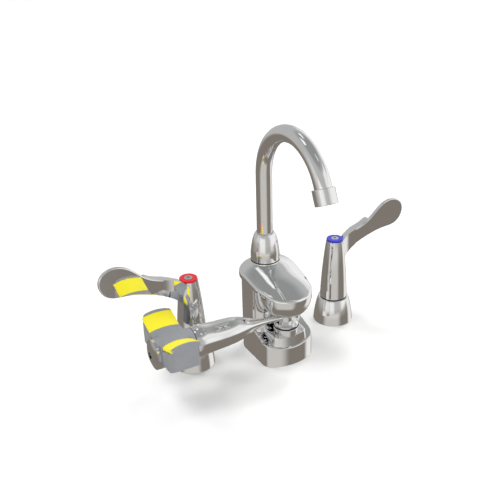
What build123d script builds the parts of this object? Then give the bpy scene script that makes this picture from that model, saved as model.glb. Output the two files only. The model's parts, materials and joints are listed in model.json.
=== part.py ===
from build123d import *
from math import acos, atan2, cos, degrees, hypot, radians, sin, sqrt
import os

# Eyewash faucet for three deck holes: a spout body with a gooseneck and a swinging eyewash arm,
# and a hot and a cold wrist-blade valve. Millimetres, +Z up, the user stands on the -Y side.
# The origin is on the deck, under the gooseneck's riser.

# Clearances
FIT = 0.05
FACE_GAP = 0.1
SEAT_GAP = 0.2

# Deck fixings, common to all four threaded shanks
HANDLE_CENTRES = 203.2
DECK = 6.0
SHANK_R = 10.48
SHANK_BORE_R = 6.4
SHANK_DROP = 62.0
SHANK_IN = 8.0
SHANK_CHAMFER = 1.0
RELIEF_H = 1.5
RELIEF_DEPTH = 0.8
RELIEF_GAP = 0.5
WASHER_R = 17.0
WASHER_T = 2.0
NUT_FLATS = 28.0
NUT_T = 7.0
NUT_CHAMFER = 1.2

# Body casting: foot and column
BODY_HALF_WIDTH = 33.6
BODY_BACK = 17.0
BODY_FRONT = -67.5
FRONT_BULGE_R = 56.0
FRONT_CORNER_R = 14.0
BACK_CORNER_R = 24.0
COLUMN_FRONT = -36.0
COLUMN_CORNER_R = 12.0
RIM_FILLET = 1.5
FOOT_RIM_Z = 24.0
FOOT_CORNER_Y = -52.0
FOOT_CORNER_Z = 30.5
FOOT_BACK_Z = 38.4
CASTING_WALL = 5.0
HOLLOW_DEPTH = 16.0
CORE_TOP = 88.0
BOSS_R = 15.5
GASKET_T = 3.0

# Eyewash valve seat on the foot
PIVOT_Y = -48.5
SEAT_HALF_WIDTH = 25.4
SEAT_INSET = 0.8
SEAT_BASE_Z = 18.0
SEAT_TOP = 38.9
SEAT_DRAFT = 9.3
SEAT_CORNER_R = 10.0
SEAT_EDGE_R = 2.4
POCKET_DEPTH = 2.0
POCKET_MARGIN = 2.0
POCKET_CORNER_R = 3.0
RING_R = 15.2
RING_H = 8.6
RING_RELIEF = 0.4
RING_SEAL_T = 1.7
CARTRIDGE_R = 9.5
VALVE_STEP = 5.0
RING_BOTTOM = SEAT_TOP - POCKET_DEPTH
RING_TOP = RING_BOTTOM + RING_H
HUB_BOTTOM = RING_TOP + RING_SEAL_T + SEAT_GAP

# Hood and nose
HOOD_OVERHANG = 2.0
HOOD_CROWN = 114.6
HOOD_BACK_DROP = 4.5
HOOD_ARCH_R = 65.0
HOOD_CREST = [(-62.0, 101.0), (-40.0, 107.4), (-18.0, 112.2)]
HOOD_UNDER_Z = 98.0
HOOD_UNDER_SLOPE = 0.128
HOOD_BACK_CORNER_R = 24.0
HOOD_STRAIGHT_Y = -6.0
HOOD_LIP = 0.6
HOOD_BEND_R = 16.0
HOOD_EDGE_R = 4.4
NOSE_R = 30.8
NOSE_TIP_Z = 94.0
BOWL_Z = 64.0
BOWL_NECK_R = 12.0
BOWL_SWELL = [(22.0, 68.0), (27.9, 76.0)]
BUSH_R = 10.5
BUSH_TOP = 84.0

# Spout
RISER_R = 9.5
TUBE_WALL = 1.2
RISER_TOP = 221.6
ARCH_R = 63.4
ARCH_SWEEP = 156.0
SPOUT_TAIL = 2.0
COLLAR_R = 17.5
COLLAR_BOTTOM = 114.8
COLLAR_TOP = 149.0
COLLAR_TOP_R = 11.4
COLLAR_WAIST = (16.3, 132.0)
COLLAR_SEAL_T = 1.2
NIPPLE_R = 12.5
NIPPLE_TOP = 126.0
SPOUT_FLANGE_T = 3.0
SPOUT_SEAT_BORE_R = 8.65
SPOUT_SEAT_Z = 94.0
SPOUT_INSERT_BORE_R = 6.0
INSERT_GRIP = 11.0
BEARING_T = 2.0
AERATOR_R = 12.3
AERATOR_L = 17.2
AERATOR_GRIP = 7.0
AERATOR_WALL = 1.6
SPRAY_ROWS = ((1, 0.0), (6, 2.6), (12, 5.2), (18, 7.6))
SPRAY_HOLE_R = 0.6

# Swing hub and eyewash arm
STEM_R = 8.75
STEM_TOP = BUSH_TOP - 2.0
HUB_FLANGE_R = 14.8
HUB_FLANGE_T = 4.0
HUB_CHAMFER = 2.4
SPIGOT_R = 8.0
DRIVER_R = 4.0
DRIVER_BORE_R = 2.2
DRIVER_SOCKET = 8.0
ORING_R = 1.05
ARM_Z = 61.0
NECK_Z = 58.6
ARM_END_X = -121.8
ARM_END_R = 17.2
ARM_STATIONS = [
    (-22.0, 58.9, 4.4, 3.6), (-38.0, 59.8, 5.6, 5.2), (-50.0, 60.5, 9.4, 9.2), (-62.0, 61.0, 13.3, 13.2),
    (-80.0, 61.0, 15.9, 15.8), (-100.0, 61.0, 16.9, 16.85),
]
ARM_SEAL_T = 1.0
ARM_BORE_R = 12.0
NECK_BORE_R = 2.2

# Eyewash head
HEAD_END_X = -166.0
HEAD_HUB_R = 17.4
HEAD_BORE_R = 13.0
HEAD_BORE_DEPTH = 14.0
SADDLE_HALF = 14.4
SADDLE_END_R = 8.0
WING_NEAR_X = -129.5
WING_FAR_INSET = 1.0
WING_FAR_X = HEAD_END_X + WING_FAR_INSET
WING_BOTTOM = 45.5
WING_INNER = 17.4
WING_OUTER = 41.0
WING_ROOT = 9.0
WING_TILT = 20.5
WING_TOP_Z = 78.6
WING_ARCH_RISE = 3.2
WING_FAR_CORNER_R = 14.0
WING_NEAR_CORNER_R = 5.0
WING_FAR_OUTER_R = 6.5
WING_EDGE_R = 4.5
WING_NEAR_OUTER_R = 3.0
WING_LIP = 1.4
WING_LIP_H = 5.0
WING_BLOCK_H = 50.0
COVER_T = 1.8
COVER_RIM = 2.6
COVER_SINK = 1.0
COVER_GAP = 0.25
PIN_R = 1.2
KNUCKLE_R = 2.5
KNUCKLE_GAP = 0.3
HINGE_INSET = 3.0
HINGE_X = WING_FAR_X + HINGE_INSET
COVER_OUTER = WING_OUTER - COVER_RIM
CUP_WALL = 4.0
CUP_FLOOR_Z = 60.0
NOZZLE_R = 7.0
NOZZLE_H = 9.0
NOZZLE_HOLE_R = 0.5
FEED_R = 2.4
CAP_DOME = 3.6
CAP_RIM = 3.4
CAP_SPIGOT = 9.0
CAP_SOCKET_R = 4.4
CAP_SOCKET_DEPTH = 4.5

# Hot and cold valves
BASE_R = 25.5
BASE_TOP_R = 19.6
BASE_H = 33.6
BASE_WALL = 2.6
BASE_WAIST = (24.0, 14.0)
JOINT_SEAL_T = 1.0
HANDLE_R = 17.4
HANDLE_TOP_R = 10.8
HANDLE_TOP = 115.8
HANDLE_WAIST = (15.6, 68.0)
HANDLE_CORE_TOP = 97.0
HANDLE_CORE_TOP_R = 8.2
HANDLE_BOSS_R = 6.2
HANDLE_BOSS_Z = 84.0
INDEX_R = 10.5
INDEX_T = 2.4
CARTRIDGE_NECK_R = 12.9
CARTRIDGE_TOP = 52.0
HANDLE_STEM_TOP = 100.0
SCREW_R = 2.0
SCREW_HEAD_R = 4.8
SIDE_OUTLET_R = 6.2
SIDE_OUTLET_Z = -34.0
SIDE_OUTLET_REACH = 22.0
SIDE_BORE_R = 3.6
VALVE_FLANGE = (19.0, 4.0)
VALVE_BARREL = (15.0, 24.0)

# Wrist blade, measured outwards from the handle's axis
BLADE_T = 4.4
BLADE_FRONT = -2.6
BLADE_EDGE_R = 1.2
BLADE_SWEEP_R = 46.0
BLADE_ROOT_R = 11.6
BLADE_FLANGE_END = 52.0
BLADE_FLANGE_BACK = 8.5
BLADE_FLANGE_T = 3.6
BLADE_RISE = 80.0
BLADE_OUTLINE = [
    (6.0, 113.5), (28.0, 121.0), (47.0, 127.8), (59.0, 137.0), (71.0, 147.0), (88.0, 151.5),
    (102.0, 144.0), (104.5, 130.0), (95.0, 117.5), (75.0, 114.0), (52.0, 109.0), (30.0, 100.5),
    (12.0, 89.0),
]

os.makedirs("parts", exist_ok=True)


def save(shape, name):
    export_step(shape, "parts/" + name + ".step")


def rod(r, z0, z1, x=0.0, y=0.0):
    return Pos(x, y, (z0 + z1) / 2) * Cylinder(r, z1 - z0)


def ring(r_out, r_in, z0, z1, x=0.0, y=0.0):
    return rod(r_out, z0, z1, x, y) - rod(r_in, z0 - 1, z1 + 1, x, y)


def rod_x(r, x0, x1, y, z):
    return Pos((x0 + x1) / 2, y, z) * Rot(0, 90, 0) * Cylinder(r, abs(x1 - x0))


def largest(shape):
    return max(shape.solids(), key=lambda s: s.volume)


# Body casting

def foot_outline(inset=0.0):
    half = BODY_HALF_WIDTH
    sag = FRONT_BULGE_R - sqrt(FRONT_BULGE_R ** 2 - half ** 2)
    corner_y = BODY_FRONT + sag
    with BuildSketch() as plan:
        with BuildLine():
            ThreePointArc((-half, corner_y), (0, BODY_FRONT), (half, corner_y))
            Polyline((half, corner_y), (half, BODY_BACK), (-half, BODY_BACK), (-half, corner_y))
        make_face()
        front = plan.vertices().filter_by_position(Axis.Y, corner_y - 1, corner_y + 1)
        fillet(front, FRONT_CORNER_R)
        fillet(plan.vertices().group_by(Axis.Y)[-1], BACK_CORNER_R)
        if inset:
            offset(amount=-inset)
    return plan.sketch


def foot():
    """The casting's foot: its top rises from the front rim to the column."""
    back = COLUMN_FRONT + COLUMN_CORNER_R
    with BuildSketch(Plane.YZ) as side:
        with BuildLine():
            ThreePointArc((BODY_FRONT, FOOT_RIM_Z), (FOOT_CORNER_Y, FOOT_CORNER_Z), (back, FOOT_BACK_Z))
            Polyline((back, FOOT_BACK_Z), (back, 0), (BODY_FRONT, 0), (BODY_FRONT, FOOT_RIM_Z))
        make_face()
    block = extrude(foot_outline(), FOOT_BACK_Z + 5)
    solid = largest(block & extrude(side.sketch, BODY_HALF_WIDTH + 5, both=True))
    rim = [e for e in solid.edges() if e.center().Z > FOOT_RIM_Z - 2 and e.center().Y < back - 0.5]
    return solid.fillet(RIM_FILLET, rim)


def column_plan(inset=0.0):
    half = BODY_HALF_WIDTH
    depth = BODY_BACK - COLUMN_FRONT
    with BuildSketch() as plan:
        with Locations((0, BODY_BACK - depth / 2)):
            Rectangle(2 * half, depth)
        fillet(plan.vertices().group_by(Axis.Y)[0], COLUMN_CORNER_R)
        fillet(plan.vertices().group_by(Axis.Y)[-1], BACK_CORNER_R)
        if inset:
            offset(amount=-inset)
    return plan.sketch


def column():
    """Upright behind the valve seat, its top inside the sloping hood."""
    top = HOOD_UNDER_Z + 3
    front_top = HOOD_UNDER_Z + HOOD_UNDER_SLOPE * COLUMN_FRONT + 2
    side = make_face(Plane.YZ * Polyline((COLUMN_FRONT, 0), (COLUMN_FRONT, front_top), (BODY_BACK + 5, top),
                                         (BODY_BACK + 5, 0), close=True))
    return largest(extrude(column_plan(), top + 5) & extrude(side, BODY_HALF_WIDTH + 5, both=True))


def bulged_plan(half, inset, back, corner_r):
    """Plan with straight sides and a front that runs parallel to the foot's bulged front."""
    bulge = FRONT_BULGE_R - inset
    front = BODY_FRONT + inset
    corner_y = front + bulge - sqrt(bulge ** 2 - half ** 2)
    with BuildSketch() as plan:
        with BuildLine():
            ThreePointArc((-half, corner_y), (0, front), (half, corner_y))
            Polyline((half, corner_y), (half, back), (-half, back), (-half, corner_y))
        make_face()
        fillet(plan.vertices().filter_by_position(Axis.Y, corner_y - 0.5, corner_y + 0.5), corner_r)
    return plan.sketch


def valve_seat():
    """Drafted boss on the foot, which carries the valve ring."""
    plan = bulged_plan(SEAT_HALF_WIDTH, SEAT_INSET, COLUMN_FRONT + 2 * CASTING_WALL, SEAT_CORNER_R)
    boss = extrude(Pos(0, 0, SEAT_BASE_Z) * plan, SEAT_TOP - SEAT_BASE_Z, taper=SEAT_DRAFT)
    top = boss.faces().sort_by(Axis.Z)[-1]
    return boss.fillet(SEAT_EDGE_R, top.edges())


def seat_pocket():
    """Shallow recess round the valve ring."""
    inset = PIVOT_Y - RING_R - RING_RELIEF - BODY_FRONT
    back = PIVOT_Y + RING_R + RING_RELIEF
    plan = bulged_plan(RING_R + POCKET_MARGIN, inset, back, POCKET_CORNER_R)
    return extrude(Pos(0, 0, RING_BOTTOM) * plan, 2 * POCKET_DEPTH)


def hood_plan():
    """Outline seen from above: wide over the column, then straight flanks down to the round nose."""
    half = BODY_HALF_WIDTH + HOOD_OVERHANG
    shoulder = BODY_HALF_WIDTH + HOOD_LIP
    back = BODY_BACK + HOOD_OVERHANG
    reach = hypot(shoulder, COLUMN_FRONT - PIVOT_Y)
    turn = atan2(COLUMN_FRONT - PIVOT_Y, shoulder) - acos(NOSE_R / reach)
    touch_x = NOSE_R * cos(turn)
    touch_y = PIVOT_Y + NOSE_R * sin(turn)
    with BuildSketch() as plan:
        with BuildLine():
            ThreePointArc((-touch_x, touch_y), (0, PIVOT_Y - NOSE_R), (touch_x, touch_y))
            Polyline((touch_x, touch_y), (shoulder, COLUMN_FRONT), (half, HOOD_STRAIGHT_Y), (half, back),
                     (-half, back), (-half, HOOD_STRAIGHT_Y), (-shoulder, COLUMN_FRONT), (-touch_x, touch_y))
        make_face()
        fillet(plan.vertices().group_by(Axis.Y)[-1], HOOD_BACK_CORNER_R)
        bend = plan.vertices().filter_by_position(Axis.Y, COLUMN_FRONT - 0.1, COLUMN_FRONT + 0.1)
        fillet(bend, HOOD_BEND_R)
    return plan.sketch


def hood_section(y, crown):
    """Cross-section with an arched top, wide enough to cover the plan everywhere."""
    half = BODY_HALF_WIDTH + 9.0
    drop = HOOD_ARCH_R - sqrt(HOOD_ARCH_R ** 2 - half ** 2)
    floor = BOWL_Z + 6
    with BuildSketch(Plane.XZ.offset(-y)) as section:
        with BuildLine():
            ThreePointArc((-half, crown - drop), (0, crown), (half, crown - drop))
            Polyline((half, crown - drop), (half, floor), (-half, floor), (-half, crown - drop))
        make_face()
    return section.sketch


def hood():
    back = BODY_BACK + HOOD_OVERHANG
    tip = PIVOT_Y - NOSE_R
    crest = [(tip - 4, NOSE_TIP_Z - 2.6), (tip, NOSE_TIP_Z), *HOOD_CREST, (0, HOOD_CROWN)]
    crest += [(back / 2, HOOD_CROWN - 0.2 * HOOD_BACK_DROP), (back, HOOD_CROWN - HOOD_BACK_DROP)]
    crest.append((back + 4, HOOD_CROWN - 2 * HOOD_BACK_DROP))
    top = loft([hood_section(y, z) for y, z in crest])
    prism = Pos(0, 0, BOWL_Z + 2) * extrude(hood_plan(), HOOD_CROWN)
    solid = largest(top & prism)
    low = atan2(HOOD_UNDER_SLOPE, 1.0)
    reach = 2 * (HOOD_CROWN - BODY_FRONT)
    under = Pos(0, 0, -HOOD_CROWN / 2) * Box(reach, reach, HOOD_CROWN)
    under = Pos(0, 0, HOOD_UNDER_Z) * Rot(degrees(low), 0, 0) * under
    solid = largest(solid - under)
    rim = [e for e in solid.edges() if e.center().Z > HOOD_UNDER_Z + HOOD_UNDER_SLOPE * e.center().Y + 1.5
           and not abs(e.tangent_at(0.5).Z) > 0.9]
    return solid.fillet(HOOD_EDGE_R, rim)


def nose_bowl():
    top = HOOD_UNDER_Z + HOOD_UNDER_SLOPE * (PIVOT_Y - NOSE_R) + 2.5
    with BuildSketch(Plane.XZ) as half:
        with BuildLine():
            Spline((BOWL_NECK_R, BOWL_Z), *BOWL_SWELL, (NOSE_R, top - 2.5))
            Polyline((NOSE_R, top - 2.5), (NOSE_R, top), (0, top), (0, BOWL_Z), (BOWL_NECK_R, BOWL_Z))
        make_face()
    return Pos(0, PIVOT_Y, 0) * revolve(half.sketch, Axis.Z)


def casting_core():
    """Cast hollow, open below: low under the foot, tall in the column, round the two bosses."""
    hollow = extrude(foot_outline(CASTING_WALL), HOLLOW_DEPTH) + extrude(column_plan(CASTING_WALL), CORE_TOP)
    hollow -= rod(BOSS_R, -1, CORE_TOP + 1)
    return hollow - rod(BOSS_R, -1, HOLLOW_DEPTH + 1, y=PIVOT_Y)


def body_casting():
    body = foot() + column() + valve_seat() + hood() + nose_bowl()
    body += rod(COLLAR_R + 0.5, HOOD_CROWN - 8, COLLAR_BOTTOM - COLLAR_SEAL_T)
    body -= ring(COLLAR_R + 0.5, NIPPLE_R, COLLAR_BOTTOM - COLLAR_SEAL_T, HOOD_CROWN + 5)
    body += rod(NIPPLE_R, HOOD_CROWN - 8, NIPPLE_TOP)
    body -= casting_core()
    body -= rod(SHANK_R + FIT, -1, SHANK_IN)
    body -= rod(SHANK_BORE_R, -1, SPOUT_SEAT_Z + 1)
    body -= rod(SPOUT_SEAT_BORE_R, SPOUT_SEAT_Z, NIPPLE_TOP + 1)
    body -= rod(SHANK_R + FIT, -1, SHANK_IN, y=PIVOT_Y)
    body -= rod(CARTRIDGE_R + FIT, SHANK_IN - 1, SEAT_TOP + 2, y=PIVOT_Y)
    body -= seat_pocket()
    body -= rod(RING_R + RING_RELIEF, SEAT_TOP, HUB_BOTTOM + HUB_FLANGE_T + 1, y=PIVOT_Y)
    body -= rod(BUSH_R + FIT, BOWL_Z - 1, BUSH_TOP + 0.5, y=PIVOT_Y)
    return largest(body)


def deck_gasket():
    gasket = extrude(foot_outline(CASTING_WALL + SEAT_GAP / 2), GASKET_T)
    gasket -= rod(BOSS_R + SEAT_GAP / 2, -1, GASKET_T + 1)
    gasket -= rod(BOSS_R + SEAT_GAP / 2, -1, GASKET_T + 1, y=PIVOT_Y)
    return gasket


# Threaded shanks, washers and locknuts

def thread_relief(top, x=0.0, y=0.0):
    """Groove where the thread for the hose's nut ends."""
    top -= RELIEF_GAP
    return ring(SHANK_R + 1, SHANK_R - RELIEF_DEPTH, top - RELIEF_H, top, x, y)


def shank(y):
    body = rod(SHANK_R, -SHANK_DROP, SHANK_IN - FACE_GAP, y=y)
    body = chamfer(body.edges().sort_by(Axis.Z)[0], SHANK_CHAMFER)
    body -= thread_relief(-DECK - WASHER_T - NUT_T, y=y)
    return body - rod(SHANK_BORE_R, -SHANK_DROP - 1, SHANK_IN + 1, y=y)


def deck_washer(x, y):
    return ring(WASHER_R, SHANK_R + FIT, -DECK - WASHER_T, -DECK, x, y)


def locknut(x, y):
    top = -DECK - WASHER_T
    plan = Pos(x, y) * RegularPolygon(NUT_FLATS / 2, 6, major_radius=False)
    nut = extrude(Pos(0, 0, top - NUT_T) * plan, NUT_T)
    cone = Pos(x, y, top - NUT_T / 2) * Cylinder(NUT_FLATS / 2 + NUT_CHAMFER, NUT_T)
    cone = chamfer(cone.edges(), NUT_CHAMFER)
    return (nut & cone) - rod(SHANK_R + FIT, top - NUT_T - 1, top + 1, x, y)


# Spout

def spout_path():
    turn = radians(ARCH_SWEEP)
    end_y = -ARCH_R + ARCH_R * cos(turn)
    end_z = RISER_TOP + ARCH_R * sin(turn)
    mid_y = -ARCH_R + ARCH_R * cos(turn / 2)
    mid_z = RISER_TOP + ARCH_R * sin(turn / 2)
    down = Vector(0, -sin(turn), cos(turn))
    bend_end = Vector(0, end_y, end_z)
    tip = bend_end + down * (SPOUT_TAIL + AERATOR_GRIP)
    start = Vector(0, 0, NIPPLE_TOP + FACE_GAP + SPOUT_FLANGE_T)
    path = Polyline(start, (0, 0, RISER_TOP))
    path += ThreePointArc((0, 0, RISER_TOP), (0, mid_y, mid_z), bend_end)
    path += Line(bend_end, tip)
    return path, start, bend_end, down


def spout_tube():
    path, start, bend_end, down = spout_path()
    outer = sweep(Plane(start) * Circle(RISER_R), path)
    inner = sweep(Plane(start) * Circle(RISER_R - TUBE_WALL), path)
    return outer - inner


def outlet_plane():
    """Plane at the top of the aerator housing, its normal pointing out of the spout."""
    path, start, bend_end, down = spout_path()
    return Plane(origin=bend_end + down * SPOUT_TAIL, x_dir=(1, 0, 0), z_dir=down)


def outlet_rod(r, a, b):
    return outlet_plane() * (Pos(0, 0, (a + b) / 2) * Cylinder(r, b - a))


def aerator_housing():
    shell = Pos(0, 0, AERATOR_L / 2) * Cylinder(AERATOR_R, AERATOR_L)
    shell = fillet(shell.edges().filter_by(GeomType.CIRCLE), 0.6)
    shell = outlet_plane() * shell
    shell -= outlet_rod(RISER_R + FIT, -1, AERATOR_GRIP + 0.5)
    shell -= outlet_rod(AERATOR_R - AERATOR_WALL, AERATOR_GRIP, AERATOR_L - 1.5)
    shell -= outlet_rod(AERATOR_R - 3.0, AERATOR_L - 2, AERATOR_L + 1)
    return shell


def aerator_gasket():
    body = outlet_rod(AERATOR_R - AERATOR_WALL - FACE_GAP, AERATOR_GRIP + FACE_GAP, AERATOR_GRIP + 1.6)
    return body - outlet_rod(RISER_R - TUBE_WALL, AERATOR_GRIP - 1, AERATOR_GRIP + 3)


def spray_pattern(rows):
    """Places of spray holes in rings of that count and radius."""
    turns = [(radius, radians(360.0 * i / count)) for count, radius in rows for i in range(count)]
    return [(radius * cos(turn), radius * sin(turn)) for radius, turn in turns]


def aerator_insert():
    start = AERATOR_GRIP + 1.7
    body = outlet_rod(AERATOR_R - AERATOR_WALL - FACE_GAP, start, AERATOR_L - 1.6)
    body += outlet_rod(AERATOR_R - 3.1, AERATOR_L - 2, AERATOR_L - 0.3)
    plane = outlet_plane()
    for x, y in spray_pattern(SPRAY_ROWS):
        body -= plane * (Pos(x, y, AERATOR_L) * Cylinder(SPRAY_HOLE_R, 2 * (AERATOR_L - AERATOR_GRIP)))
    return body


def spout_insert():
    flange_z = NIPPLE_TOP + FACE_GAP
    r = SPOUT_SEAT_BORE_R - FIT
    body = rod(r, SPOUT_SEAT_Z + 1, flange_z)
    body += rod(NIPPLE_R - 1.5, flange_z, flange_z + SPOUT_FLANGE_T)
    body += rod(RISER_R - TUBE_WALL - FIT, flange_z, flange_z + SPOUT_FLANGE_T + INSERT_GRIP)
    body -= rod(SPOUT_INSERT_BORE_R, SPOUT_SEAT_Z, flange_z + SPOUT_FLANGE_T + INSERT_GRIP + 1)
    for z in spout_oring_heights():
        body -= ring(r + 1, r - 2 * ORING_R, z - ORING_R, z + ORING_R)
    return body


def spout_oring_heights():
    return (SPOUT_SEAT_Z + 6, SPOUT_SEAT_Z + 14)


def orings(inner_r, heights, y=0.0):
    rings = [Pos(0, y, z) * Torus(inner_r + ORING_R, ORING_R) for z in heights]
    return Compound(children=rings)


def spout_bearing():
    z = NIPPLE_TOP + FACE_GAP + SPOUT_FLANGE_T + FACE_GAP
    return ring(NIPPLE_R - 0.5, RISER_R + 0.1, z, z + BEARING_T)


def spout_collar():
    """Bullet-shaped nut, threaded on the body's nipple, that traps the spout's flange."""
    shoulder = NIPPLE_TOP + FACE_GAP + SPOUT_FLANGE_T + FACE_GAP + BEARING_T + 0.05
    with BuildSketch(Plane.XZ) as half:
        with BuildLine():
            Polyline((COLLAR_TOP_R, COLLAR_TOP), (0, COLLAR_TOP), (0, COLLAR_BOTTOM),
                     (COLLAR_R, COLLAR_BOTTOM), (COLLAR_R, COLLAR_BOTTOM + 6))
            Spline((COLLAR_R, COLLAR_BOTTOM + 6), COLLAR_WAIST, (COLLAR_TOP_R, COLLAR_TOP),
                   tangents=((0, 1), (-0.6, 1)))
        make_face()
    body = revolve(half.sketch, Axis.Z)
    body = fillet(body.edges().sort_by(Axis.Z)[-1], 0.8)
    body -= rod(NIPPLE_R + FIT, COLLAR_BOTTOM - 1, shoulder)
    body -= rod(RISER_R + 0.3, shoulder - 1, COLLAR_TOP + 1)
    return body


def collar_seal():
    return ring(COLLAR_R + 0.1, NIPPLE_R + FIT, COLLAR_BOTTOM - COLLAR_SEAL_T, COLLAR_BOTTOM)


# Eyewash valve and swing hub

def valve_ring():
    body = rod(RING_R, RING_BOTTOM, RING_TOP, y=PIVOT_Y)
    body = fillet(body.edges().sort_by(Axis.Z)[-1], 1.0)
    body += rod(CARTRIDGE_R, RING_BOTTOM - VALVE_STEP, RING_BOTTOM, y=PIVOT_Y)
    body -= rod(SPIGOT_R + FIT, RING_BOTTOM + 1, RING_TOP + 1, y=PIVOT_Y)
    return body - rod(DRIVER_R + 0.3, RING_BOTTOM - VALVE_STEP - 1, RING_TOP, y=PIVOT_Y)


def ring_seal():
    return ring(RING_R, SPIGOT_R + 0.3, RING_TOP, RING_TOP + RING_SEAL_T, y=PIVOT_Y)


def eyewash_cartridge():
    top = RING_BOTTOM - VALVE_STEP - FACE_GAP
    body = rod(CARTRIDGE_R, SHANK_IN + FACE_GAP, top, y=PIVOT_Y)
    body -= rod(DRIVER_R + FIT, top - DRIVER_SOCKET, top + 1, y=PIVOT_Y)
    return body - rod(2.4, SHANK_IN - 1, top, y=PIVOT_Y)


def valve_driver():
    top = RING_BOTTOM - VALVE_STEP - FACE_GAP
    body = rod(DRIVER_R, top - DRIVER_SOCKET + SEAT_GAP, HUB_BOTTOM - 1, y=PIVOT_Y)
    return body - rod(DRIVER_BORE_R, top - DRIVER_SOCKET - 1, HUB_BOTTOM, y=PIVOT_Y)


def hub_oring_heights():
    return (RING_BOTTOM + 3, RING_BOTTOM + 6.6)


def swing_hub():
    spigot_bottom = RING_BOTTOM + 1 + FACE_GAP
    body = rod(SPIGOT_R, spigot_bottom, HUB_BOTTOM, y=PIVOT_Y)
    flange = rod(HUB_FLANGE_R, HUB_BOTTOM, HUB_BOTTOM + HUB_FLANGE_T, y=PIVOT_Y)
    flange = chamfer(flange.edges().sort_by(Axis.Z)[-1], HUB_CHAMFER)
    body += flange
    body += rod(STEM_R, HUB_BOTTOM + 1, STEM_TOP, y=PIVOT_Y)
    body -= rod(DRIVER_R + FIT, spigot_bottom - 1, HUB_BOTTOM - 1, y=PIVOT_Y)
    body -= rod(2.4, HUB_BOTTOM - 2, NECK_Z, y=PIVOT_Y)
    body -= rod_x(NECK_BORE_R, 0, -STEM_R - 2, PIVOT_Y, NECK_Z)
    for z in hub_oring_heights():
        body -= ring(SPIGOT_R + 1, SPIGOT_R - 2 * ORING_R, z - ORING_R, z + ORING_R, y=PIVOT_Y)
    return body


def pivot_bush():
    return ring(BUSH_R, STEM_R + FIT, BOWL_Z + 0.5, BUSH_TOP, y=PIVOT_Y)


def arm_section(x, z, half_y, half_z):
    plane = Plane(origin=(x, PIVOT_Y, z), x_dir=(0, 1, 0), z_dir=(-1, 0, 0))
    return plane * Ellipse(half_y, half_z) if half_y != half_z else plane * Circle(half_y)


def eyewash_arm():
    ends = [(-STEM_R + 2.5, NECK_Z, 4.6, 3.6), (ARM_END_X, ARM_Z, ARM_END_R, ARM_END_R - 0.05)]
    arm = loft([arm_section(*station) for station in (ends[0], *ARM_STATIONS, ends[1])])
    arm -= rod(STEM_R + FIT, NECK_Z - 20, NECK_Z + 20, y=PIVOT_Y)
    arm -= rod_x(NECK_BORE_R, 0, -70, PIVOT_Y, NECK_Z + 0.2)
    taper = Pos(-76, PIVOT_Y, ARM_Z) * Rot(0, -90, 0) * Cone(NECK_BORE_R, ARM_BORE_R, 20)
    arm -= taper
    arm -= rod_x(ARM_BORE_R, -85, ARM_END_X - 1, PIVOT_Y, ARM_Z)
    return largest(arm)


def arm_seal():
    body = rod_x(ARM_END_R - 0.1, ARM_END_X - ARM_SEAL_T, ARM_END_X, PIVOT_Y, ARM_Z)
    return body - rod_x(ARM_BORE_R, ARM_END_X - 2, ARM_END_X + 2, PIVOT_Y, ARM_Z)


# Eyewash head. Each wing is worked out for one side, +1 for the wall side and -1 for the user's side.

def wing_slope(side):
    """Unit vector out along the wing's tilted top."""
    tilt = radians(WING_TILT)
    return Vector(0, side * cos(tilt), sin(tilt))


def wing_frame(side):
    """Plane at the wing's inner edge: local y is up, and the normal runs out along the tilted top."""
    origin = (0, PIVOT_Y + side * WING_INNER, WING_TOP_Z)
    return Plane(origin=origin, x_dir=(-side, 0, 0), z_dir=wing_slope(side))


def arch_radius():
    half = (WING_NEAR_X - WING_FAR_X) / 2
    return (half ** 2 + WING_ARCH_RISE ** 2) / (2 * WING_ARCH_RISE)


def arch_slab(side, inner, outer, upper, lower, near, far):
    """Slab that follows the wing's arched top between two offsets from that surface."""
    r = arch_radius()
    middle = (WING_NEAR_X + WING_FAR_X) / 2
    frame = wing_frame(side)
    stretch = 1 / cos(radians(WING_TILT))
    start = (inner - WING_INNER) * stretch
    length = (outer - inner) * stretch
    disc = Circle(r + upper) - Circle(r + lower) if lower is not None else Circle(r + upper)
    disc = Pos(-side * middle, WING_ARCH_RISE - r) * disc
    window = Pos(-side * (near + far) / 2, 0) * Rectangle(near - far, 80)
    keep = Pos(-side * (near + far) / 2, WING_ARCH_RISE) * Rectangle(near - far, 60)
    profile = disc & window & keep
    return extrude(frame.offset(start) * profile, length)


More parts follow.
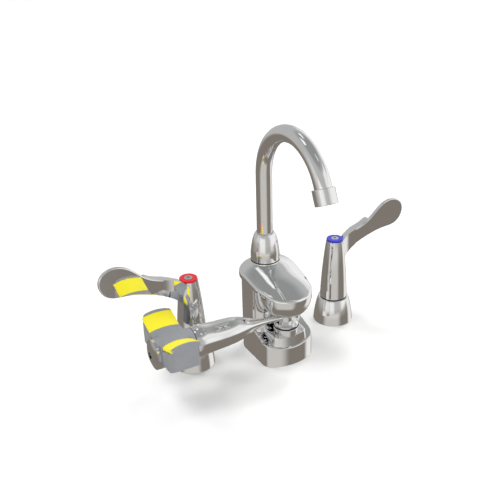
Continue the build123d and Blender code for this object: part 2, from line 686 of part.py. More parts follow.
def wing(side):
    """Block under one cover, round at its lower and outer edges, with a lip along its near top edge."""
    near = WING_NEAR_X - WING_LIP
    inner = WING_INNER - WING_ROOT
    middle = (near + WING_FAR_X) / 2
    with BuildSketch(Plane.XZ.offset(-(PIVOT_Y + side * inner))) as face:
        with Locations((middle, WING_BOTTOM + WING_BLOCK_H / 2)):
            Rectangle(near - WING_FAR_X, WING_BLOCK_H)
        fillet(face.vertices().group_by(Axis.Y)[0].sort_by(Axis.X)[0], WING_FAR_CORNER_R)
        fillet(face.vertices().group_by(Axis.Y)[0].sort_by(Axis.X)[-1], WING_NEAR_CORNER_R)
    block = extrude(face.sketch, -side * (WING_OUTER - inner))
    outer = block.faces().sort_by(Axis.Y)[-1 if side > 0 else 0]
    block = block.fillet(WING_EDGE_R, outer.edges())
    with BuildSketch() as plan:
        with Locations(((WING_NEAR_X + WING_FAR_X) / 2, PIVOT_Y + side * (inner + WING_OUTER) / 2)):
            Rectangle(WING_NEAR_X - WING_FAR_X, WING_OUTER - inner)
        last = -1 if side > 0 else 0
        fillet(plan.vertices().sort_by(Axis.X)[:2].sort_by(Axis.Y)[last], WING_FAR_OUTER_R)
        fillet(plan.vertices().sort_by(Axis.X)[-2:].sort_by(Axis.Y)[last], WING_NEAR_OUTER_R)
    around = extrude(Pos(0, 0, WING_BOTTOM - 1) * plan.sketch, WING_BLOCK_H + 2)
    top = arch_slab(side, inner - 5, WING_OUTER + WING_ROOT, 0, None, WING_NEAR_X + 5, WING_FAR_X - 5)
    lip = arch_slab(side, inner, WING_OUTER, 0, -WING_LIP_H, WING_NEAR_X, near - WING_EDGE_R)
    return largest(((block & top) + lip) & around)


def saddle():
    """Fills the valley between the wings up to the top of the round hub."""
    top = ARM_Z + HEAD_HUB_R + 0.2
    centre = Pos((WING_NEAR_X + WING_FAR_X) / 2, PIVOT_Y, (ARM_Z + top) / 2)
    block = centre * Box(WING_NEAR_X - WING_FAR_X, 2 * SADDLE_HALF, top - ARM_Z)
    far_top = block.edges().filter_by(Axis.Y).group_by(Axis.Z)[-1].sort_by(Axis.X)[0]
    return fillet(far_top, SADDLE_END_R)


def hinge_centre(side):
    """Point on the hinge pin's axis, in the wing frame's x and y."""
    r = arch_radius()
    middle = (WING_NEAR_X + WING_FAR_X) / 2
    fall = r - sqrt(r ** 2 - (HINGE_X - middle) ** 2)
    return -side * HINGE_X, WING_ARCH_RISE - fall - COVER_SINK - KNUCKLE_R + 0.6


def hinge_rod(side, radius, inner, outer):
    """Round bar on the hinge axis between two distances from the arm's axis."""
    stretch = 1 / cos(radians(WING_TILT))
    start = (inner - WING_INNER) * stretch
    length = (outer - inner) * stretch
    frame = wing_frame(side)
    x, y = hinge_centre(side)
    return extrude(frame.offset(start) * Pos(x, y) * Circle(radius), length)


def cover_slab(side, grow=0.0):
    upper = -COVER_SINK + COVER_T / 2 + 4 * grow
    lower = -COVER_SINK - COVER_T / 2 - grow
    inner, outer = WING_INNER - grow, COVER_OUTER + grow
    return arch_slab(side, inner, outer, upper, lower, WING_NEAR_X + grow, HINGE_X - grow)


def dust_cover(side):
    cover = cover_slab(side)
    cover += hinge_rod(side, KNUCKLE_R, WING_INNER, COVER_OUTER)
    return largest(cover - hinge_rod(side, PIN_R + FIT, WING_INNER - 5, COVER_OUTER + 5))


def cup_centre(side):
    near = WING_NEAR_X - CUP_WALL
    far = HINGE_X + KNUCKLE_R + CUP_WALL
    return (near + far) / 2, PIVOT_Y + side * (WING_INNER + COVER_OUTER) / 2


def cup(side):
    """Hollow under a cover, where the nozzle sits."""
    x, y = cup_centre(side)
    length = WING_NEAR_X - HINGE_X - KNUCKLE_R - 2 * CUP_WALL
    depth = COVER_OUTER - WING_INNER - CUP_WALL
    hollow = Pos(x, y, CUP_FLOOR_Z + length / 2) * Box(length, depth, length)
    return fillet(hollow.edges().filter_by(Axis.Z), 5)


def hinge_space(side):
    """Room round the cover's knuckle, open to the top and to the far end."""
    space = hinge_rod(side, KNUCKLE_R + KNUCKLE_GAP, WING_INNER - 0.4, COVER_OUTER + COVER_GAP)
    return space + Pos(-KNUCKLE_R, 0, KNUCKLE_R) * space + Pos(-KNUCKLE_R, 0, 0) * space


def eyewash_head():
    start = ARM_END_X - ARM_SEAL_T
    head = rod_x(HEAD_HUB_R, HEAD_END_X, start, PIVOT_Y, ARM_Z) + saddle()
    for side in (-1, 1):
        head += wing(side)
    for side in (-1, 1):
        head -= cover_slab(side, COVER_GAP)
        head -= hinge_space(side)
        head -= hinge_rod(side, PIN_R + FIT, WING_INNER - 4, WING_OUTER + 3)
        head -= cup(side)
        x, y = cup_centre(side)
        feed = Rot(90, 0, 0) * Cylinder(FEED_R, abs(y - PIVOT_Y))
        head -= Pos(x, (PIVOT_Y + y) / 2, CUP_FLOOR_Z + 3) * feed
    head -= rod_x(ARM_BORE_R, start + 1, HEAD_END_X + HEAD_BORE_DEPTH, PIVOT_Y, ARM_Z)
    head -= rod_x(HEAD_BORE_R, HEAD_END_X + HEAD_BORE_DEPTH, HEAD_END_X - 1, PIVOT_Y, ARM_Z)
    return largest(head)


def cover_pin(side):
    return hinge_rod(side, PIN_R, WING_INNER - 3, WING_OUTER - 1.6)


def spray_nozzle(side):
    x, y = cup_centre(side)
    top = CUP_FLOOR_Z + NOZZLE_H
    body = rod(NOZZLE_R - 1, CUP_FLOOR_Z, top - 3, x, y)
    body += rod(NOZZLE_R, top - 3, top, x, y)
    body -= rod(NOZZLE_R - 2.5, CUP_FLOOR_Z + 2, top - 2, x, y)
    for dx, dy in spray_pattern(SPRAY_ROWS[:3]):
        body -= rod(NOZZLE_HOLE_R, CUP_FLOOR_Z + 3, top + 1, x + dx, y + dy)
    return body


def end_cap():
    x = HEAD_END_X - FACE_GAP / 2
    dome_r = (HEAD_HUB_R ** 2 + CAP_DOME ** 2) / (2 * CAP_DOME)
    body = rod_x(HEAD_HUB_R - 0.2, x, x - CAP_RIM - CAP_DOME, PIVOT_Y, ARM_Z)
    ball = Pos(x - CAP_RIM - CAP_DOME + dome_r, PIVOT_Y, ARM_Z) * Sphere(dome_r)
    body = largest(body & ball)
    body += rod_x(HEAD_BORE_R - FIT, x, x + CAP_SPIGOT, PIVOT_Y, ARM_Z)
    body -= rod_x(HEAD_BORE_R - 2.5, x + 2, x + CAP_SPIGOT + 1, PIVOT_Y, ARM_Z)
    socket = RegularPolygon(CAP_SOCKET_R, 6)
    face = x - CAP_RIM - CAP_DOME
    plane = Plane(origin=(face - 1, PIVOT_Y, ARM_Z), x_dir=(0, 1, 0), z_dir=(1, 0, 0))
    return body - extrude(plane * socket, CAP_SOCKET_DEPTH + 1)


# Hot and cold valves, at x on the deck; out is the side that the blade points to, -1 or +1

def valve_base(x):
    """Flared cover over the valve, open below, with a hole for the valve's neck."""
    mid_r, mid_z = BASE_WAIST

    def half_profile(drop, high):
        with BuildSketch(Plane.XZ) as half:
            with BuildLine():
                Line((0, 0), (BASE_R - drop, 0))
                Spline((BASE_R - drop, 0), (mid_r - drop, mid_z), (BASE_TOP_R - drop, high))
                Polyline((BASE_TOP_R - drop, high), (0, high), (0, 0))
            make_face()
        return revolve(half.sketch, Axis.Z)

    body = half_profile(0.0, BASE_H)
    body = fillet(body.edges().sort_by(Axis.Z)[-1], 1.6)
    body -= Pos(0, 0, -0.001) * half_profile(BASE_WALL, BASE_H - BASE_WALL)
    body -= rod(CARTRIDGE_NECK_R + FIT, 0, BASE_H + 1)
    return Pos(x, 0, 0) * largest(body)


def joint_seal(x):
    return ring(HANDLE_R - 0.2, CARTRIDGE_NECK_R + 0.1, BASE_H, BASE_H + JOINT_SEAL_T, x)


def valve_body(x, out):
    body = rod(SHANK_R, -SHANK_DROP, 2, x)
    body = chamfer(body.edges().sort_by(Axis.Z)[0], SHANK_CHAMFER)
    body -= thread_relief(SIDE_OUTLET_Z - SIDE_OUTLET_R, x)
    body += rod(VALVE_FLANGE[0], 0, VALVE_FLANGE[1], x)
    body += rod(VALVE_BARREL[0], 0, VALVE_BARREL[1], x)
    body += rod(CARTRIDGE_NECK_R, VALVE_BARREL[1] - 1, BASE_H - FACE_GAP, x)
    body += rod_x(SIDE_OUTLET_R, x, x - out * SIDE_OUTLET_REACH, 0, SIDE_OUTLET_Z)
    body -= rod(SHANK_BORE_R, -SHANK_DROP - 1, SHANK_IN + 1, x)
    body -= rod(CARTRIDGE_R + FIT, SHANK_IN, BASE_H + 1, x)
    return body - rod_x(SIDE_BORE_R, x - out * 4, x - out * (SIDE_OUTLET_REACH + 1), 0, SIDE_OUTLET_Z)


def valve_cartridge(x):
    body = rod(CARTRIDGE_R, SHANK_IN + FACE_GAP, CARTRIDGE_TOP, x)
    body += rod(CARTRIDGE_NECK_R - 1.4, BASE_H, BASE_H + 3, x)
    body -= rod(DRIVER_R + FIT, CARTRIDGE_TOP - 12, CARTRIDGE_TOP + 1, x)
    return body - rod(3.0, SHANK_IN - 1, CARTRIDGE_TOP - 16, x)


def valve_stem(x):
    body = rod(DRIVER_R, CARTRIDGE_TOP - 11.8, HANDLE_STEM_TOP, x)
    return body - rod(SCREW_R + FIT, HANDLE_STEM_TOP - 12, HANDLE_STEM_TOP + 1, x)


def sweep_plan(x, out):
    """Plan of the blade's root: its front face sweeps in an arc onto the handle's round column."""
    reach = BLADE_SWEEP_R + BLADE_ROOT_R
    centre = Vector(sqrt(reach ** 2 - (BLADE_SWEEP_R - BLADE_FRONT) ** 2), BLADE_FRONT - BLADE_SWEEP_R)
    inner = centre * (BLADE_ROOT_R / reach)
    outer = Vector(centre.X, BLADE_FRONT)
    middle = centre + ((inner + outer) / 2 - centre).normalized() * BLADE_SWEEP_R
    arc = ThreePointArc(*[(x + out * v.X, v.Y) for v in (inner, middle, outer)])
    back = BLADE_FRONT + BLADE_T / 2
    edge = Polyline((x + out * outer.X, outer.Y), (x + out * outer.X, back), (x, back),
                    (x + out * inner.X, inner.Y))
    return make_face(arc + edge)


def blade(x, out):
    """Flat paddle on a rising neck, with a flange along the neck's top edge at the back."""
    points = [(x + out * u, z) for u, z in BLADE_OUTLINE]
    low, high = BLADE_OUTLINE[-1][1] - 4, BLADE_OUTLINE[0][1]
    with BuildSketch(Plane.XZ) as face:
        with BuildLine():
            Spline(*points)
            Polyline(points[-1], (x, low), (x, high), points[0])
        make_face()
    outline = face.sketch
    plate = Pos(0, BLADE_FRONT + BLADE_T / 2, 0) * extrude(outline, BLADE_T / 2, both=True)
    plate = largest(plate)
    plate = plate.fillet(BLADE_EDGE_R, [e for e in plate.edges() if e.length > HANDLE_TOP])
    prism = extrude(outline, BLADE_SWEEP_R, both=True)
    root = prism & extrude(Pos(0, 0, low) * sweep_plan(x, out), BLADE_RISE)
    back = BLADE_FRONT + BLADE_T / 2
    plan = [(0, back), (0, 0), (9, 1), (BLADE_FLANGE_END * 0.55, BLADE_FLANGE_BACK),
            (BLADE_FLANGE_END - 2, BLADE_FLANGE_BACK), (BLADE_FLANGE_END, BLADE_FLANGE_BACK - 2),
            (BLADE_FLANGE_END, back)]
    plan = make_face(Polyline(*[(x + out * u, y) for u, y in plan], close=True))
    flange = prism & extrude(Pos(0, 0, low) * plan, BLADE_RISE)
    flange -= Pos(0, 0, -BLADE_FLANGE_T) * prism
    return largest(plate + largest(root) + largest(flange))


def handle(x, out):
    bottom = BASE_H + JOINT_SEAL_T + FACE_GAP
    with BuildSketch(Plane.XZ) as half:
        with BuildLine():
            Polyline((0, HANDLE_TOP - INDEX_T), (0, bottom), (HANDLE_R, bottom), (HANDLE_R, bottom + 1))
            Spline((HANDLE_R, bottom + 1), HANDLE_WAIST, (HANDLE_TOP_R, HANDLE_TOP - INDEX_T))
            Line((HANDLE_TOP_R, HANDLE_TOP - INDEX_T), (0, HANDLE_TOP - INDEX_T))
        make_face()
    body = Pos(x, 0, 0) * revolve(half.sketch, Axis.Z)
    body += blade(x, out)
    core_bottom = CARTRIDGE_TOP + 2
    core = Cone(CARTRIDGE_NECK_R - 0.6, HANDLE_CORE_TOP_R, HANDLE_CORE_TOP - core_bottom)
    core = Pos(x, 0, (core_bottom + HANDLE_CORE_TOP) / 2) * core
    body -= core - rod(HANDLE_BOSS_R, HANDLE_BOSS_Z, HANDLE_TOP, x)
    body -= rod(CARTRIDGE_NECK_R - 0.6, bottom - 1, core_bottom, x)
    body -= rod(DRIVER_R + FIT, CARTRIDGE_TOP, HANDLE_STEM_TOP + 0.5, x)
    body -= rod(SCREW_R + 0.1, HANDLE_STEM_TOP, HANDLE_TOP, x)
    body -= rod(HANDLE_TOP_R + 1.2, HANDLE_TOP - INDEX_T, HANDLE_TOP + 8, x)
    return largest(body)


def index_ring(x):
    body = rod(INDEX_R, HANDLE_TOP - INDEX_T, HANDLE_TOP, x)
    body = fillet(body.edges().sort_by(Axis.Z)[-1], 0.8)
    return body - rod(SCREW_HEAD_R + FIT, HANDLE_TOP - INDEX_T - 1, HANDLE_TOP + 1, x)


def handle_screw(x):
    seat = HANDLE_TOP - INDEX_T
    head = rod(SCREW_HEAD_R, seat, HANDLE_TOP + 0.4, x)
    head = fillet(head.edges().sort_by(Axis.Z)[-1], 0.8)
    head += rod(SCREW_R, HANDLE_STEM_TOP - 10, seat + 1, x)
    socket = extrude(Pos(x, 0, HANDLE_TOP - 1.8) * RegularPolygon(2.2, 6), 4)
    return head - socket


def write_body():
    save(body_casting(), "body_casting")
    save(deck_gasket(), "deck_gasket")
    for name, y in (("spout", 0.0), ("eyewash", PIVOT_Y)):
        save(shank(y), name + "_shank")
        save(deck_washer(0, y), name + "_deck_washer")
        save(locknut(0, y), name + "_locknut")
    save(spout_collar(), "spout_collar")
    save(collar_seal(), "collar_seal")
    save(valve_ring(), "valve_ring")
    save(ring_seal(), "ring_seal")
    save(pivot_bush(), "pivot_bush")
    save(eyewash_cartridge(), "eyewash_cartridge")


def write_spout():
    save(spout_tube(), "spout_tube")
    save(spout_insert(), "spout_insert")
    save(orings(SPOUT_SEAT_BORE_R - FIT - 2 * ORING_R, spout_oring_heights()), "spout_orings")
    save(spout_bearing(), "spout_bearing")
    save(aerator_housing(), "aerator_housing")
    save(aerator_gasket(), "aerator_gasket")
    save(aerator_insert(), "aerator_insert")


def write_eyewash():
    save(swing_hub(), "swing_hub")
    save(orings(SPIGOT_R - 2 * ORING_R, hub_oring_heights(), PIVOT_Y), "hub_orings")
    save(valve_driver(), "valve_driver")
    save(eyewash_arm(), "eyewash_arm")
    save(arm_seal(), "arm_seal")
    save(eyewash_head(), "eyewash_head")
    save(end_cap(), "end_cap")
    for name, side in (("front", -1), ("rear", 1)):
        save(dust_cover(side), name + "_dust_cover")
        save(cover_pin(side), name + "_cover_pin")
        save(spray_nozzle(side), name + "_spray_nozzle")


def write_valves():
    for name, out in (("hot", -1), ("cold", 1)):
        x = out * HANDLE_CENTRES / 2
        save(valve_base(x), name + "_base")
        save(joint_seal(x), name + "_joint_seal")
        save(valve_body(x, out), name + "_valve_body")
        save(valve_cartridge(x), name + "_cartridge")
        save(deck_washer(x, 0), name + "_deck_washer")
        save(locknut(x, 0), name + "_locknut")
        save(handle(x, out), name + "_handle")
        save(index_ring(x), name + "_index_ring")
        save(handle_screw(x), name + "_handle_screw")
        save(valve_stem(x), name + "_stem")


write_body()
write_spout()
write_eyewash()
write_valves()
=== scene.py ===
import json
import math

import bpy
from mathutils import Matrix, Vector


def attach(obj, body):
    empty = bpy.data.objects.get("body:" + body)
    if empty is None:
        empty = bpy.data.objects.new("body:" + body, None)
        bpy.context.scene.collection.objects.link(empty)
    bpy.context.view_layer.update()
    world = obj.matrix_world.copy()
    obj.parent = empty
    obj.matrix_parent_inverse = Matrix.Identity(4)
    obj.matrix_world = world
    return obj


# Eyewash faucet: polished chrome body and gooseneck, two wrist-blade valves, and a swinging
# eyewash arm that ends in a grey head with two yellow dust covers. Metres, +Z up.

MM = 0.001

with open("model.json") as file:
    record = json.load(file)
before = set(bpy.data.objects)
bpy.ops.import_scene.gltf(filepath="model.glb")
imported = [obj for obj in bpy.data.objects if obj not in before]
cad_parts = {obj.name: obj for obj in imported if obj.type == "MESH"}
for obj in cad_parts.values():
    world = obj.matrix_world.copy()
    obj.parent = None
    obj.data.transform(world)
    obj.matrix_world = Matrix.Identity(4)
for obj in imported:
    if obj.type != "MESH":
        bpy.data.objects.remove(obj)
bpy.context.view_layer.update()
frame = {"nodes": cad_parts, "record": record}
nodes = frame["nodes"]


# Materials. Each one is built on a Principled shader, from patterns in Object coordinates.

def new_material(name):
    material = bpy.data.materials.new(name)
    material.use_nodes = True
    return material, material.node_tree, material.node_tree.nodes["Principled BSDF"]


def object_coordinates(tree, stretch=(1.0, 1.0, 1.0)):
    """Object coordinates in millimetres, so a pattern's scale reads as its count per millimetre."""
    place = tree.nodes.new("ShaderNodeTexCoord")
    mapping = tree.nodes.new("ShaderNodeMapping")
    mapping.inputs["Scale"].default_value = [s / MM for s in stretch]
    tree.links.new(place.outputs["Object"], mapping.inputs["Vector"])
    return mapping.outputs["Vector"]


def noise(tree, vector, scale, detail=2.0, roughness=0.5):
    node = tree.nodes.new("ShaderNodeTexNoise")
    node.inputs["Scale"].default_value = scale
    node.inputs["Detail"].default_value = detail
    node.inputs["Roughness"].default_value = roughness
    tree.links.new(vector, node.inputs["Vector"])
    return node.outputs["Fac"]


def spread(tree, value, low, high, start=0.35, end=0.65):
    """Maps a pattern's middle range to the numbers from low to high."""
    node = tree.nodes.new("ShaderNodeMapRange")
    node.inputs["From Min"].default_value = start
    node.inputs["From Max"].default_value = end
    node.inputs["To Min"].default_value = low
    node.inputs["To Max"].default_value = high
    tree.links.new(value, node.inputs["Value"])
    return node.outputs["Result"]


def blend_colours(tree, factor, first, second):
    node = tree.nodes.new("ShaderNodeMix")
    node.data_type = "RGBA"
    node.inputs["A"].default_value = (*first, 1.0)
    node.inputs["B"].default_value = (*second, 1.0)
    tree.links.new(factor, node.inputs["Factor"])
    return node.outputs["Result"]


def bump(tree, shader, height, depth):
    """Relief of that depth in metres."""
    node = tree.nodes.new("ShaderNodeBump")
    node.inputs["Strength"].default_value = 1.0
    node.inputs["Distance"].default_value = depth
    tree.links.new(height, node.inputs["Height"])
    tree.links.new(node.outputs["Normal"], shader.inputs["Normal"])


def mirror_chrome():
    material, tree, shader = new_material("mirror_chrome")
    vector = object_coordinates(tree)
    smudge = noise(tree, vector, 0.045, 4.0, 0.55)
    shader.inputs["Metallic"].default_value = 1.0
    colour = blend_colours(tree, smudge, (0.83, 0.835, 0.84), (0.89, 0.89, 0.885))
    tree.links.new(colour, shader.inputs["Base Color"])
    tree.links.new(spread(tree, smudge, 0.02, 0.055), shader.inputs["Roughness"])
    ripple = noise(tree, vector, 0.09, 1.0)
    bump(tree, shader, ripple, 0.05 * MM)
    return material


def machined_brass():
    material, tree, shader = new_material("machined_brass")
    vector = object_coordinates(tree, (0.3, 0.3, 6.0))
    turned = noise(tree, vector, 1.2, 3.0)
    shader.inputs["Metallic"].default_value = 1.0
    colour = blend_colours(tree, turned, (0.62, 0.43, 0.19), (0.76, 0.56, 0.27))
    tree.links.new(colour, shader.inputs["Base Color"])
    tree.links.new(spread(tree, turned, 0.24, 0.4), shader.inputs["Roughness"])
    bump(tree, shader, turned, 0.02 * MM)
    return material


def bright_steel():
    material, tree, shader = new_material("bright_steel")
    vector = object_coordinates(tree)
    grain = noise(tree, vector, 2.4, 3.0)
    shader.inputs["Metallic"].default_value = 1.0
    colour = blend_colours(tree, grain, (0.66, 0.66, 0.65), (0.78, 0.78, 0.77))
    tree.links.new(colour, shader.inputs["Base Color"])
    tree.links.new(spread(tree, grain, 0.12, 0.24), shader.inputs["Roughness"])
    bump(tree, shader, grain, 0.015 * MM)
    return material


def black_rubber():
    material, tree, shader = new_material("black_rubber")
    vector = object_coordinates(tree)
    bloom = noise(tree, vector, 0.35, 4.0)
    colour = blend_colours(tree, bloom, (0.012, 0.012, 0.013), (0.03, 0.03, 0.031))
    tree.links.new(colour, shader.inputs["Base Color"])
    tree.links.new(spread(tree, bloom, 0.5, 0.72), shader.inputs["Roughness"])
    bump(tree, shader, noise(tree, vector, 6.0, 2.0), 0.02 * MM)
    return material


def moulded_plastic(name, first, second, low, high, grain_depth):
    """Plastic with faint flow marks, a fine moulded grain and an uneven sheen."""
    material, tree, shader = new_material(name)
    vector = object_coordinates(tree)
    flow = noise(tree, vector, 0.06, 3.0)
    colour = blend_colours(tree, flow, first, second)
    tree.links.new(colour, shader.inputs["Base Color"])
    tree.links.new(spread(tree, noise(tree, vector, 0.25, 3.0), low, high), shader.inputs["Roughness"])
    shader.inputs["IOR"].default_value = 1.49
    bump(tree, shader, noise(tree, vector, 5.0, 2.0), grain_depth)
    return material


materials = {
    "chrome": mirror_chrome(),
    "brass": machined_brass(),
    "steel": bright_steel(),
    "black_rubber": black_rubber(),
    "grey_plastic": moulded_plastic(
        "moulded_grey", (0.25, 0.26, 0.28), (0.29, 0.30, 0.32), 0.42, 0.56, 0.03 * MM),
    "yellow_plastic": moulded_plastic(
        "moulded_yellow", (0.92, 0.80, 0.02), (0.97, 0.88, 0.04), 0.3, 0.42, 0.015 * MM),
    "red_plastic": moulded_plastic(
        "index_red", (0.58, 0.012, 0.02), (0.66, 0.02, 0.03), 0.16, 0.26, 0.006 * MM),
    "blue_plastic": moulded_plastic(
        "index_blue", (0.025, 0.03, 0.46), (0.035, 0.045, 0.54), 0.16, 0.26, 0.006 * MM),
    "white_plastic": moulded_plastic(
        "white_acetal", (0.80, 0.80, 0.78), (0.86, 0.86, 0.84), 0.35, 0.5, 0.01 * MM),
}


def paint_frame():
    """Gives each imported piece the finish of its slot."""
    slots = {s["node"]: s["material_slot"] for s in frame["record"]["subparts"]}
    for name, piece in nodes.items():
        piece.data.materials.clear()
        piece.data.materials.append(materials[slots[name]])


paint_frame()


# Threads of the four shanks: a ridge along a helix, by Geometry Nodes. Sizes in millimetres.

THREAD_R = 10.48
THREAD_PITCH = 1.814
THREAD_RIDGE = 0.65
THREAD_SUNK = 0.25
VALVE_X = 101.6
PIVOT_Y = -48.5
HELIX_STEPS = 36
RIDGE_SIDES = 4
THREAD_BOTTOM = -60.8
LOCKNUT_BOTTOM = -15.0
SIDE_OUTLET_BOTTOM = -40.2
RELIEF = 2.0
THREAD_END_GAP = 0.4
SHANK_THREAD_TOP = LOCKNUT_BOTTOM - RELIEF - THREAD_END_GAP
INLET_THREAD_TOP = SIDE_OUTLET_BOTTOM - RELIEF - THREAD_END_GAP
FIXING_THREAD_BOTTOM = -27.2
FIXING_THREAD_TOP = LOCKNUT_BOTTOM - THREAD_END_GAP
THREADS = [
    # name, x, y, bottom, top
    ("spout_shank_thread", 0.0, 0.0, THREAD_BOTTOM, SHANK_THREAD_TOP),
    ("eyewash_shank_thread", 0.0, PIVOT_Y, THREAD_BOTTOM, SHANK_THREAD_TOP),
    ("hot_inlet_thread", -VALVE_X, 0.0, THREAD_BOTTOM, INLET_THREAD_TOP),
    ("cold_inlet_thread", VALVE_X, 0.0, THREAD_BOTTOM, INLET_THREAD_TOP),
    ("hot_fixing_thread", -VALVE_X, 0.0, FIXING_THREAD_BOTTOM, FIXING_THREAD_TOP),
    ("cold_fixing_thread", VALVE_X, 0.0, FIXING_THREAD_BOTTOM, FIXING_THREAD_TOP),
]


def helix_tree():
    """Node tree with named inputs: a ridge of diamond section, swept along a right-hand helix."""
    tree = bpy.data.node_groups.new("thread_ridge", "GeometryNodeTree")
    for label in ("Radius", "Turns", "Height", "Ridge"):
        tree.interface.new_socket(label, in_out="INPUT", socket_type="NodeSocketFloat")
    tree.interface.new_socket("Finish", in_out="INPUT", socket_type="NodeSocketMaterial")
    tree.interface.new_socket("Geometry", in_out="OUTPUT", socket_type="NodeSocketGeometry")
    given = tree.nodes.new("NodeGroupInput")
    helix = tree.nodes.new("GeometryNodeCurveSpiral")
    helix.inputs["Resolution"].default_value = HELIX_STEPS
    tree.links.new(given.outputs["Turns"], helix.inputs["Rotations"])
    tree.links.new(given.outputs["Radius"], helix.inputs["Start Radius"])
    tree.links.new(given.outputs["Radius"], helix.inputs["End Radius"])
    tree.links.new(given.outputs["Height"], helix.inputs["Height"])
    upright = tree.nodes.new("GeometryNodeSetCurveNormal")
    upright.mode = "Z_UP"
    tree.links.new(helix.outputs["Curve"], upright.inputs["Curve"])
    section = tree.nodes.new("GeometryNodeCurvePrimitiveCircle")
    section.inputs["Resolution"].default_value = RIDGE_SIDES
    tree.links.new(given.outputs["Ridge"], section.inputs["Radius"])
    sweep = tree.nodes.new("GeometryNodeCurveToMesh")
    sweep.inputs["Fill Caps"].default_value = True
    tree.links.new(upright.outputs["Curve"], sweep.inputs["Curve"])
    tree.links.new(section.outputs["Curve"], sweep.inputs["Profile Curve"])
    realize = tree.nodes.new("GeometryNodeRealizeInstances")
    tree.links.new(sweep.outputs["Mesh"], realize.inputs["Geometry"])
    finish = tree.nodes.new("GeometryNodeSetMaterial")
    tree.links.new(realize.outputs["Geometry"], finish.inputs["Geometry"])
    tree.links.new(given.outputs["Finish"], finish.inputs["Material"])
    result = tree.nodes.new("NodeGroupOutput")
    tree.links.new(finish.outputs["Geometry"], result.inputs["Geometry"])
    return tree


def thread(tree, name, x, y, bottom, top):
    """Runs the tree once, keeps its result as a plain mesh and lets it ride the fixed body."""
    maker = bpy.data.objects.new(name + "_maker", bpy.data.meshes.new(name + "_maker"))
    bpy.context.scene.collection.objects.link(maker)
    modifier = maker.modifiers.new("ridge", "NODES")
    modifier.node_group = tree
    values = {
        "Radius": (THREAD_R - THREAD_SUNK) * MM,
        "Turns": (top - bottom) / THREAD_PITCH,
        "Height": (top - bottom) * MM,
        "Ridge": THREAD_RIDGE * MM,
        "Finish": materials["brass"],
    }
    for socket in tree.interface.items_tree:
        if socket.in_out == "INPUT":
            modifier[socket.identifier] = values[socket.name]
    done = maker.evaluated_get(bpy.context.evaluated_depsgraph_get())
    mesh = bpy.data.meshes.new_from_object(done)
    mesh.transform(Matrix.Translation((x * MM, y * MM, bottom * MM)))
    bpy.data.objects.remove(maker)
    ridge = bpy.data.objects.new(name, mesh)
    bpy.context.scene.collection.objects.link(ridge)
    ridge.visible_glossy = False
    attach(ridge, "root")


thread_ridge = helix_tree()
for numbers in THREADS:
    thread(thread_ridge, *numbers)


# Studio: a pale floor at the deck's height, and surroundings for the chrome to mirror. They are a
# warm ground, a pale band round the horizon, a grey ceiling, and soft panels listed one by one.
# Azimuth 0 is the user's side, 90 the left, -90 the right. Angles are in degrees.

FLOOR_HALF = 6.0
FLOOR_DROP = 0.2 * MM
FLOOR_WHITE = (0.93, 0.93, 0.925, 1.0)
GROUND = (0.232, 0.208, 0.182)
HORIZON = (0.52, 0.51, 0.495)
MIDDLE_SKY = (0.50, 0.505, 0.505)
CEILING = (0.31, 0.315, 0.315)
GRADIENT = [(-18, GROUND), (-6, HORIZON), (42, MIDDLE_SKY), (58, CEILING)]
PANELS = [
    # azimuth, half width full and faded, lowest elevation faded and full, highest full and faded, gain
    (-80, 45, 72, -13, -8, 16, 24, 0.46),
    (50, 12, 32, -13, -8, 14, 22, 0.42),
    (-94, 14, 30, -50, -38, -14, -8, 0.66),
    (38, 28, 58, -58, -46, -14, -8, 0.38),
    (-40, 18, 34, 18, 24, 38, 46, 0.40),
    (-120, 18, 34, 16, 22, 28, 36, 0.36),
    (90, 14, 30, -6, 2, 16, 26, 0.18),
    (128, 12, 18, 54, 58, 70, 76, 0.75),
    (-168, 9, 15, 54, 58, 68, 74, 0.75),
    (-30, 7, 12, 58, 62, 72, 76, 0.55),
]
BELOW_DECK = [name for name in nodes if name.endswith(("_shank", "_washer", "_locknut", "_valve_body"))]


def pale_floor():
    mesh = bpy.data.meshes.new("floor")
    h = FLOOR_HALF
    mesh.from_pydata([(-h, -h, 0), (h, -h, 0), (h, h, 0), (-h, h, 0)], [], [(0, 1, 2, 3)])
    mesh.transform(Matrix.Translation((0, 0, -FLOOR_DROP)))
    floor = bpy.data.objects.new("floor", mesh)
    bpy.context.scene.collection.objects.link(floor)
    material, tree, shader = new_material("pale_floor")
    shader.inputs["Base Color"].default_value = FLOOR_WHITE
    shader.inputs["Roughness"].default_value = 0.9
    shader.inputs["Specular IOR Level"].default_value = 0.1
    mesh.materials.append(material)
    floor.visible_glossy = False
    for name in BELOW_DECK:
        nodes[name].visible_glossy = False


def towards(azimuth, elevation=0.0):
    """Unit vector from the faucet to that place in the studio."""
    a = math.radians(azimuth)
    e = math.radians(elevation)
    return Vector((-math.sin(a) * math.cos(e), -math.cos(a) * math.cos(e), math.sin(e)))


def math_node(tree, operation, first, second):
    node = tree.nodes.new("ShaderNodeMath")
    node.operation = operation
    for socket, value in zip(node.inputs, (first, second)):
        if isinstance(value, (int, float)):
            socket.default_value = value
        else:
            tree.links.new(value, socket)
    return node.outputs["Value"]


def smooth_step(tree, value, start, end):
    node = tree.nodes.new("ShaderNodeMapRange")
    node.interpolation_type = "SMOOTHSTEP"
    node.inputs["From Min"].default_value = start
    node.inputs["From Max"].default_value = end
    tree.links.new(value, node.inputs["Value"])
    return node.outputs["Result"]


def facing(tree, direction, azimuth):
    """Cosine of the angle between a level direction and that azimuth."""
    node = tree.nodes.new("ShaderNodeVectorMath")
    node.operation = "DOT_PRODUCT"
    node.inputs[1].default_value = towards(azimuth)
    tree.links.new(direction, node.inputs[0])
    return node.outputs["Value"]


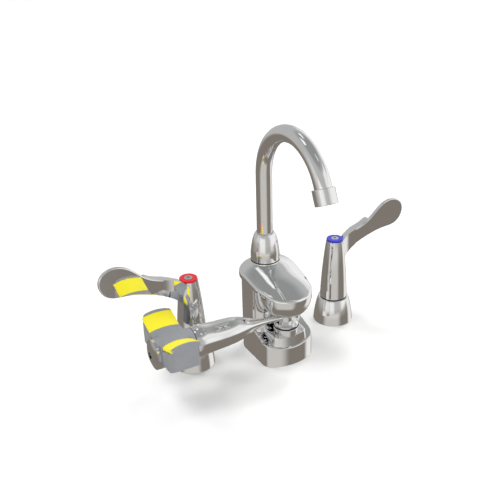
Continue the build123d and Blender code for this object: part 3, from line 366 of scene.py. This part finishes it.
def panel(tree, around, height, azimuth, full, faded, low_faded, low, high, high_faded, gain):
    """Brightness of one soft-edged panel in the surroundings."""
    across = [math.cos(math.radians(v)) for v in (faded, full)]
    below = [math.sin(math.radians(v)) for v in (low_faded, low)]
    above = [math.sin(math.radians(v)) for v in (high_faded, high)]
    width = smooth_step(tree, facing(tree, around, azimuth), *across)
    rise = math_node(tree, "MULTIPLY", smooth_step(tree, height, *below), smooth_step(tree, height, *above))
    return math_node(tree, "MULTIPLY", math_node(tree, "MULTIPLY", width, rise), gain)


def surroundings():
    world = bpy.data.worlds.new("studio")
    bpy.context.scene.world = world
    world.use_nodes = True
    tree = world.node_tree
    background = tree.nodes["Background"]
    place = tree.nodes.new("ShaderNodeTexCoord").outputs["Generated"]
    split = tree.nodes.new("ShaderNodeSeparateXYZ")
    tree.links.new(place, split.inputs["Vector"])
    height = split.outputs["Z"]
    level = tree.nodes.new("ShaderNodeVectorMath")
    level.operation = "MULTIPLY"
    level.inputs[1].default_value = (1.0, 1.0, 0.0)
    tree.links.new(place, level.inputs[0])
    flat = tree.nodes.new("ShaderNodeVectorMath")
    flat.operation = "NORMALIZE"
    tree.links.new(level.outputs["Vector"], flat.inputs[0])

    ramp = tree.nodes.new("ShaderNodeValToRGB")
    while len(ramp.color_ramp.elements) < len(GRADIENT):
        ramp.color_ramp.elements.new(0.5)
    for element, (elevation, colour) in zip(ramp.color_ramp.elements, GRADIENT):
        element.position = (1 + math.sin(math.radians(elevation))) / 2
        element.color = (*colour, 1.0)
    half = math_node(tree, "MULTIPLY", height, 0.5)
    tree.links.new(math_node(tree, "ADD", half, 0.5), ramp.inputs["Fac"])
    total = ramp.outputs["Color"]
    for numbers in PANELS:
        glow = panel(tree, flat.outputs["Vector"], height, *numbers)
        add = tree.nodes.new("ShaderNodeVectorMath")
        add.operation = "ADD"
        tree.links.new(total, add.inputs[0])
        tree.links.new(glow, add.inputs[1])
        total = add.outputs["Vector"]
    tree.links.new(total, background.inputs["Color"])
    background.inputs["Strength"].default_value = 1.0


LAMP_DISTANCE = 5.0
LAMP_RADIANCE = 8.0
LAMP_AIM_HEIGHT = 120 * MM
LAMPS = [
    # azimuth, elevation, size as a share of the distance
    (-45, 40, 0.3), (35, 44, 0.25), (105, 62, 0.3), (152, 50, 0.3), (-125, 50, 0.3),
]


def soft_lamp(number, azimuth, elevation, share):
    """Square area lamp aimed at the faucet. Reflections leave it out and show the panels."""
    back = towards(azimuth, elevation)
    size = share * LAMP_DISTANCE
    data = bpy.data.lights.new("lamp_%d" % number, "AREA")
    data.shape = "SQUARE"
    data.size = size
    data.energy = LAMP_RADIANCE * math.pi * size ** 2
    lamp = bpy.data.objects.new("lamp_%d" % number, data)
    lamp.location = Vector((0, 0, LAMP_AIM_HEIGHT)) + back * LAMP_DISTANCE
    lamp.rotation_mode = "QUATERNION"
    lamp.rotation_quaternion = (-back).to_track_quat("-Z", "Y")
    lamp.visible_glossy = False
    bpy.context.scene.collection.objects.link(lamp)


pale_floor()
surroundings()
for i, lamp in enumerate(LAMPS):
    soft_lamp(i, *lamp)


# Camera, fitted to the photograph

CAMERA_AZIMUTH = 31.308
CAMERA_ELEVATION = 27.334
CAMERA_PLACE = Vector((-408.5, -728.7, 535.9)) * MM
FOCAL_PIXELS = 773.96
CENTRE_PIXEL = (289.71, 265.09)
PICTURE = 500.0
SENSOR = 36.0


def camera():
    a = math.radians(CAMERA_AZIMUTH)
    back = towards(CAMERA_AZIMUTH, CAMERA_ELEVATION)
    right = Vector((math.cos(a), -math.sin(a), 0.0))
    up = back.cross(right)
    data = bpy.data.cameras.new("camera")
    data.sensor_width = SENSOR
    data.lens = FOCAL_PIXELS / PICTURE * SENSOR
    data.shift_x = (PICTURE / 2 - CENTRE_PIXEL[0]) / PICTURE
    data.shift_y = (CENTRE_PIXEL[1] - PICTURE / 2) / PICTURE
    data.clip_start = 0.01
    data.clip_end = 50.0
    eye = bpy.data.objects.new("camera", data)
    turn = Matrix((right, up, back)).transposed()
    eye.matrix_world = Matrix.Translation(CAMERA_PLACE) @ turn.to_4x4()
    bpy.context.scene.collection.objects.link(eye)
    bpy.context.scene.camera = eye


camera()
bpy.context.scene.view_settings.view_transform = "Standard"
